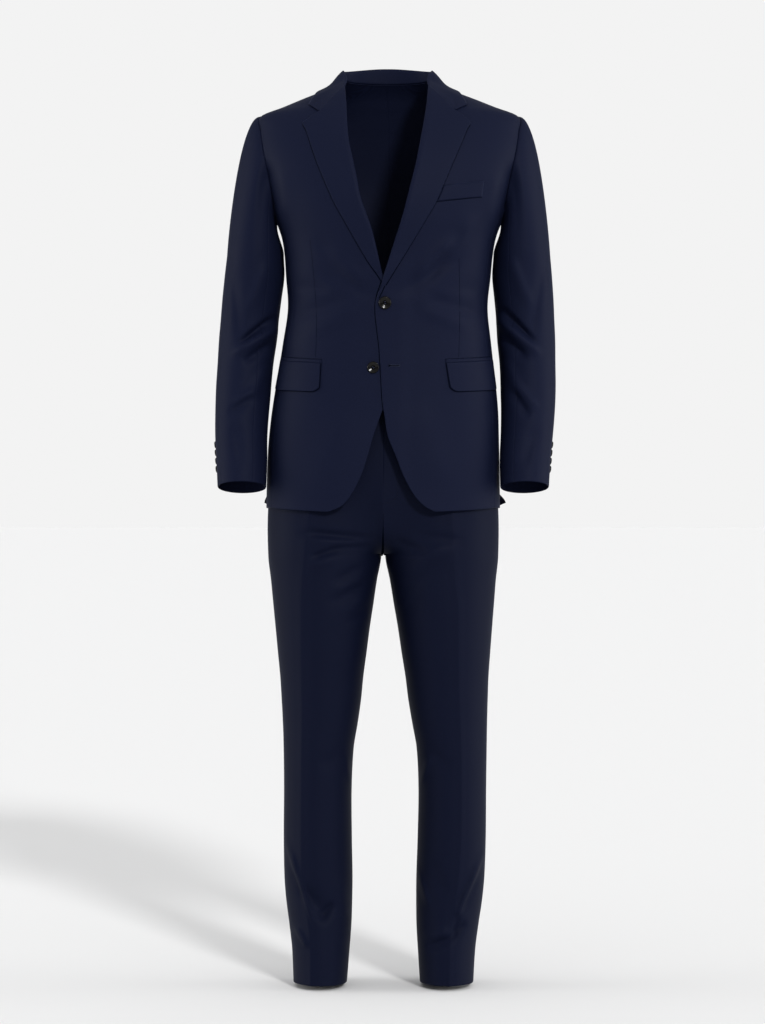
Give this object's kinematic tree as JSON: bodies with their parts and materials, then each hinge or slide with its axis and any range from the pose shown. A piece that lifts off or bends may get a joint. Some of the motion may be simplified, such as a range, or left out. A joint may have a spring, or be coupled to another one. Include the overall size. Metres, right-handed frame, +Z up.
{
  "type": "two-piece suit",
  "caption": "Navy wool two-piece suit: single-breasted jacket with notch lapels and flap pockets, and flat-front trousers, filled out as if worn.",
  "frame": {"origin": "middle of the jacket's neck opening, level with the inner ends of the shoulder seams", "axes": "+Z up, front faces -Y, +X towards the wearer's left"},
  "size_m": [0.5793, 0.2686, 1.5653],
  "materials": {
    "navy_wool": "matt worsted twill",
    "navy_wool_turned": "matt worsted twill, turned or laid on",
    "dark_horn": "polished"
  },
  "bodies": {
    "root": {"jacket_front_left": "navy_wool", "jacket_front_right": "navy_wool", "jacket_side_left": "navy_wool", "jacket_side_right": "navy_wool", "jacket_back_left": "navy_wool", "jacket_back_right": "navy_wool", "sleeve_top_left": "navy_wool", "sleeve_top_right": "navy_wool", "sleeve_under_left": "navy_wool", "sleeve_under_right": "navy_wool", "lapel_left": "navy_wool_turned", "lapel_right": "navy_wool_turned", "flap_left": "navy_wool_turned", "flap_right": "navy_wool_turned", "jet_left": "navy_wool", "jet_right": "navy_wool", "trouser_front_left": "navy_wool", "trouser_front_right": "navy_wool", "trouser_back_left": "navy_wool", "trouser_back_right": "navy_wool", "waistband_left": "navy_wool", "waistband_right": "navy_wool", "collar": "navy_wool_turned", "breast_welt": "navy_wool_turned", "fly": "navy_wool_turned", "button_top": "dark_horn", "button_lower": "dark_horn", "cuff_button_left_1": "dark_horn", "cuff_button_left_2": "dark_horn", "cuff_button_left_3": "dark_horn", "cuff_button_left_4": "dark_horn", "cuff_button_right_1": "dark_horn", "cuff_button_right_2": "dark_horn", "cuff_button_right_3": "dark_horn", "cuff_button_right_4": "dark_horn"}
  },
  "joints": []
}
